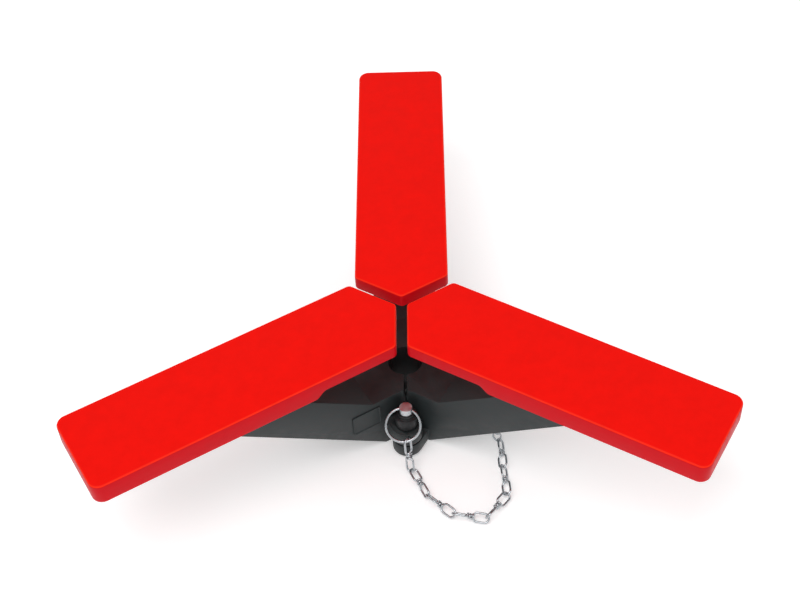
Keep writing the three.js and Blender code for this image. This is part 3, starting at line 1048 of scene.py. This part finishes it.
def link_line(index):
    """The line of one link's wire: coiled on at the knot, round both loops, and coiled off."""
    chain = settings("chain")
    way = link_way(index)
    turn = Matrix.Rotation(math.radians(LINK_ROLLS[index]), 3, way)
    first_normal = turn @ LOOPS_FACE.cross(way).normalized()
    second_normal = Matrix.Rotation(math.pi / 2, 3, way) @ first_normal
    start = round_end(index, first_normal, -1)
    end = round_end(index + 1, second_normal, 1)
    along = (end - start).normalized()
    middle = (start + end) / 2
    half = (end - start).length / 2
    one = along.cross(square_to(first_normal, along)).normalized()
    two = along.cross(square_to(second_normal, along)).normalized()
    two = (two - one * two.dot(one)).normalized()
    radius, coil = chain.loop_radius, 2.05 * chain.wire
    pitch, turns = 2.3 * chain.wire, 1.2

    def coiled(near, to_loop):
        """A coil round the knot, from its middle out to where a loop starts."""
        points = []
        steps = 14
        for k in range(steps + 1):
            t = k / steps
            angle = to_loop - 2 * math.pi * turns * (1 - t)
            place = one * math.cos(angle) + two * math.sin(angle)
            points.append(middle + place * coil + along * near * (0.25 + pitch * turns * t))
        return points

    def loop(near, across):
        """From the knot round one loop and back, on the loop's own side."""
        points = [(0.6 * radius, 3.1), (0.92 * radius, 4.4), (radius, 6.4), (radius, 9.5)]
        arc = [math.pi * k / 10 for k in range(11)]
        points += [(radius * math.cos(a), half + radius * math.sin(a)) for a in arc]
        points += [(-radius, 9.5), (-radius, 6.2), (-0.88 * radius, 4.3), (-0.5 * radius, 3.0)]
        return [middle + across * x + along * near * up for x, up in points]

    line = coiled(-1, 0.0) + loop(-1, one)
    line.append(middle - one * 0.2 * radius - along * 1.8)
    line += [middle, middle - two * 0.2 * radius + along * 1.8]
    line += [*reversed(loop(1, two))]
    line += [*reversed(coiled(1, math.pi / 2))]
    return line


def build_chain():
    """Two runs of one chain: the links that hang from the ring, and those that lie to the eye."""
    chain = settings("chain")
    tree = wire_tree()
    count = len(LINK_ROLLS)
    runs = {
        "ring_tether": (range(RING_END_LINKS), "lock_pin", "pull_ring"),
        "ground_tether": (range(RING_END_LINKS, count), "right_arm", "lock_pin"),
    }
    for name, (links, first, second) in runs.items():
        bm = bmesh.new()
        for index in links:
            points = [bm.verts.new(BORE_PLACE @ p) for p in link_line(index)]
            for a, b in zip(points, points[1:]):
                bm.edges.new((a, b))
        piece = mesh_object(name, bm, recalculate=False)
        values = {"Wire radius": chain.wire * MM, "Sides": chain.sides, "Step": 0.0007}
        grow(piece, tree, values | {"Material": zinc_plated_steel()})
        smooth_by_angle(piece.data, 60)
        piece.data.materials.clear()
        piece.data.materials.append(zinc_plated_steel())
        if second == "pull_ring":
            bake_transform(piece)
        else:
            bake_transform(piece)
        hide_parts(*[f"chain_link_{i + 1}" for i in links])


def build_eye():
    """The anchor eye, screwed square into the arm's sloping underside."""
    rise, start, along, across = 0.8, 43, 100.9, -2.5  # the underside's slope and where it starts
    slope = math.atan(rise)
    normal = Vector((math.sin(slope), 0, -math.cos(slope)))
    seat = Vector((along, across, rise * (along - start)))
    collar = turned_solid(softened(sleeve(2.0, 5, 0.3, 1.9), 0.5), 48)
    collar.transform(rod_place(seat, seat + normal))
    hang = Matrix.Translation(seat + normal * 7.4) @ Matrix.Rotation(math.pi / 2, 4, "X")
    loop = torus(4.6, 1.5, hang, 64, 20)
    shank = rod(seat - normal * 12, seat + normal * 1.5, 2.6, 32, 0.4)
    neck = rod(seat + normal, seat + normal * 3.6, 2.2)
    eye = mesh_object("tether_eye", joined(loop, collar, shank, neck), arm_place("right"))
    smooth_by_angle(eye.data, 40)
    return finish_piece(eye, zinc_plated_steel(), "right_arm", ["chain_anchor_eye"])


# ---- Stage ----


def build_camera():
    stage = settings("stage")
    elevation = stage.elevation
    right = Vector((1, 0, 0))
    up = Vector((0, math.sin(elevation), math.cos(elevation)))
    back = Vector((0, -math.cos(elevation), math.sin(elevation)))
    stand = right * stage.aside + up * stage.above + back * stage.distance
    turn = Matrix.Rotation(-stage.turn, 3, "Z")
    camera = bpy.data.objects.new("camera", bpy.data.cameras.new("camera"))
    bpy.context.scene.collection.objects.link(camera)
    facing = Matrix([turn @ right, turn @ up, turn @ back]).transposed().to_4x4()
    place = turn @ stand * MM + Vector((BORE.x, BORE.y, PAD_TOP * MM))
    camera.matrix_world = Matrix.Translation(place) @ facing
    camera.data.lens = stage.lens
    camera.data.sensor_width = 36
    camera.data.shift_x = -0.1086  # brings the head back to the middle of the frame
    camera.data.clip_end = 100
    bpy.context.scene.camera = camera


def area_light(name, place, target, size, power):
    data = bpy.data.lights.new(name, "AREA")
    data.size = size
    data.energy = power
    light = bpy.data.objects.new(name, data)
    bpy.context.scene.collection.objects.link(light)
    place, target = Vector(place), Vector(target)
    light.matrix_world = (
        Matrix.Translation(place) @ (place - target).to_track_quat("Z", "Y").to_matrix().to_4x4()
    )
    return light


def build_stage():
    stage = settings("stage")
    bm = bmesh.new()
    bmesh.ops.create_grid(bm, x_segments=1, y_segments=1, size=stage.floor_reach * MM)
    floor = mesh_object("floor", bm, Matrix.Translation((0, 0, -0.0006)), recalculate=False)
    floor.data.materials.append(studio_floor())
    middle = (0, -0.05, 0.05)
    area_light("key", (-0.5, -1.0, 2.5), middle, 1.5, 25)
    area_light("fill", (1.7, -0.9, 1.5), middle, 2.2, 4)
    bpy.context.scene.view_settings.view_transform = "Standard"
    world = bpy.context.scene.world or bpy.data.worlds.new("studio")
    bpy.context.scene.world = world
    world.use_nodes = True
    tree = world.node_tree
    tree.nodes.clear()
    look = add_node(tree, "ShaderNodeTexCoord").outputs["Generated"]
    height = add_node(tree, "ShaderNodeSeparateXYZ", {0: look}).outputs["Z"]
    spread = {"From Min": -0.1, "From Max": 0.9, "To Min": 0.4, "To Max": 0.8}
    glow = add_node(tree, "ShaderNodeMapRange", {"Value": height, **spread}).outputs[0]
    sky = add_node(tree, "ShaderNodeBackground", {"Color": (1, 1, 1, 1), "Strength": glow})
    add_node(tree, "ShaderNodeOutputWorld", {"Surface": sky.outputs[0]})


# ---- Operators ----


class SUPPORTHEAD_OT_stage(Operator):
    """Sets up the camera, the floor and the soft studio light"""

    bl_idname = "support_head.stage"
    bl_label = "Stage"

    def execute(self, context):
        build_camera()
        build_stage()
        return {"FINISHED"}


class SUPPORTHEAD_OT_chain(Operator):
    """Builds the knotted chain and its anchor eye"""

    bl_idname = "support_head.chain"
    bl_label = "Chain"

    def execute(self, context):
        build_chain()
        build_eye()
        return {"FINISHED"}


class SUPPORTHEAD_OT_pads(Operator):
    """Builds the three moulded pads"""

    bl_idname = "support_head.pads"
    bl_label = "Pads"

    def execute(self, context):
        for side in ARMS:
            build_pad(side)
        return {"FINISHED"}


class SUPPORTHEAD_OT_castings(Operator):
    """Builds the three cast segments and the blank label"""

    bl_idname = "support_head.castings"
    bl_label = "Cast segments"

    def execute(self, context):
        for side in ARMS:
            build_casting(side)
        build_label()
        return {"FINISHED"}


class SUPPORTHEAD_OT_pad_screws(Operator):
    """Builds the flanged screws that hold the pads, and finishes their inserts"""

    bl_idname = "support_head.pad_screws"
    bl_label = "Pad screws"

    def execute(self, context):
        sizes = {"Across flats": settings("hardware").screw_head, **PAD_SCREW}
        seat = PAD_TOP - settings("pads").thick - PAD_FLANGE - 2 * GAP
        for side, (body, angle) in ARMS.items():
            places = [(along, across, seat) for along, across in SCREW_PLACES]
            nodes = [f"{side}_pad_screw_{i + 1}" for i in range(len(places))]
            turn = (0, 0, math.radians(angle))
            name = f"{side}_slab_screws"
            build_screws(name, places, turn, sizes, body, nodes, arm_place(side))
            for i in range(len(places)):
                node = frame["nodes"][f"{side}_pad_insert_{i + 1}"]
                node.data.materials.clear()
                node.data.materials.append(turned_brass())
        return {"FINISHED"}


class SUPPORTHEAD_OT_hinges(Operator):
    """Builds the two bolted hinges with their bushes and washers"""

    bl_idname = "support_head.hinges"
    bl_label = "Hinges"

    def execute(self, context):
        build_hinge("left", "back", "left_arm", "rear_arm", "rear_arm")
        build_hinge("right", "right", "rear_arm", "right_arm", "rear_arm")
        return {"FINISHED"}


class SUPPORTHEAD_OT_lock_pin(Operator):
    """Builds the lock pin with its collar, bush, catch ball and pull ring"""

    bl_idname = "support_head.lock_pin"
    bl_label = "Lock pin"

    def execute(self, context):
        build_lock_pin()
        build_ring()
        return {"FINISHED"}


OPERATORS = (
    SUPPORTHEAD_OT_stage,
    SUPPORTHEAD_OT_chain,
    SUPPORTHEAD_OT_pads,
    SUPPORTHEAD_OT_castings,
    SUPPORTHEAD_OT_pad_screws,
    SUPPORTHEAD_OT_hinges,
    SUPPORTHEAD_OT_lock_pin,
)


class SUPPORTHEAD_PT_panel(Panel):
    """Lists the pieces of the support head and their sizes"""

    bl_label = "Support Head"
    bl_idname = "SUPPORTHEAD_PT_panel"
    bl_space_type = "VIEW_3D"
    bl_region_type = "UI"
    bl_category = "Support Head"

    def draw(self, context):
        layout = self.layout
        for operator in OPERATORS:
            layout.operator(operator.bl_idname)
        for name, group in GROUPS.items():
            column = layout.box().column()
            column.label(text=name.title())
            for key in group.__annotations__:
                column.prop(getattr(context.scene.support_head, name), key)


CLASSES = (*GROUPS.values(), SupportHeadSettings, *OPERATORS, SUPPORTHEAD_PT_panel)


def register():
    for item in CLASSES:
        bpy.utils.register_class(item)
    bpy.types.Scene.support_head = PointerProperty(type=SupportHeadSettings)


def unregister():
    del bpy.types.Scene.support_head
    for item in reversed(CLASSES):
        bpy.utils.unregister_class(item)


def main():
    register()
    bpy.ops.support_head.stage()
    bpy.ops.support_head.chain()
    bpy.ops.support_head.pads()
    bpy.ops.support_head.castings()
    bpy.ops.support_head.pad_screws()
    bpy.ops.support_head.hinges()
    bpy.ops.support_head.lock_pin()


if __name__ == "__main__":
    main()
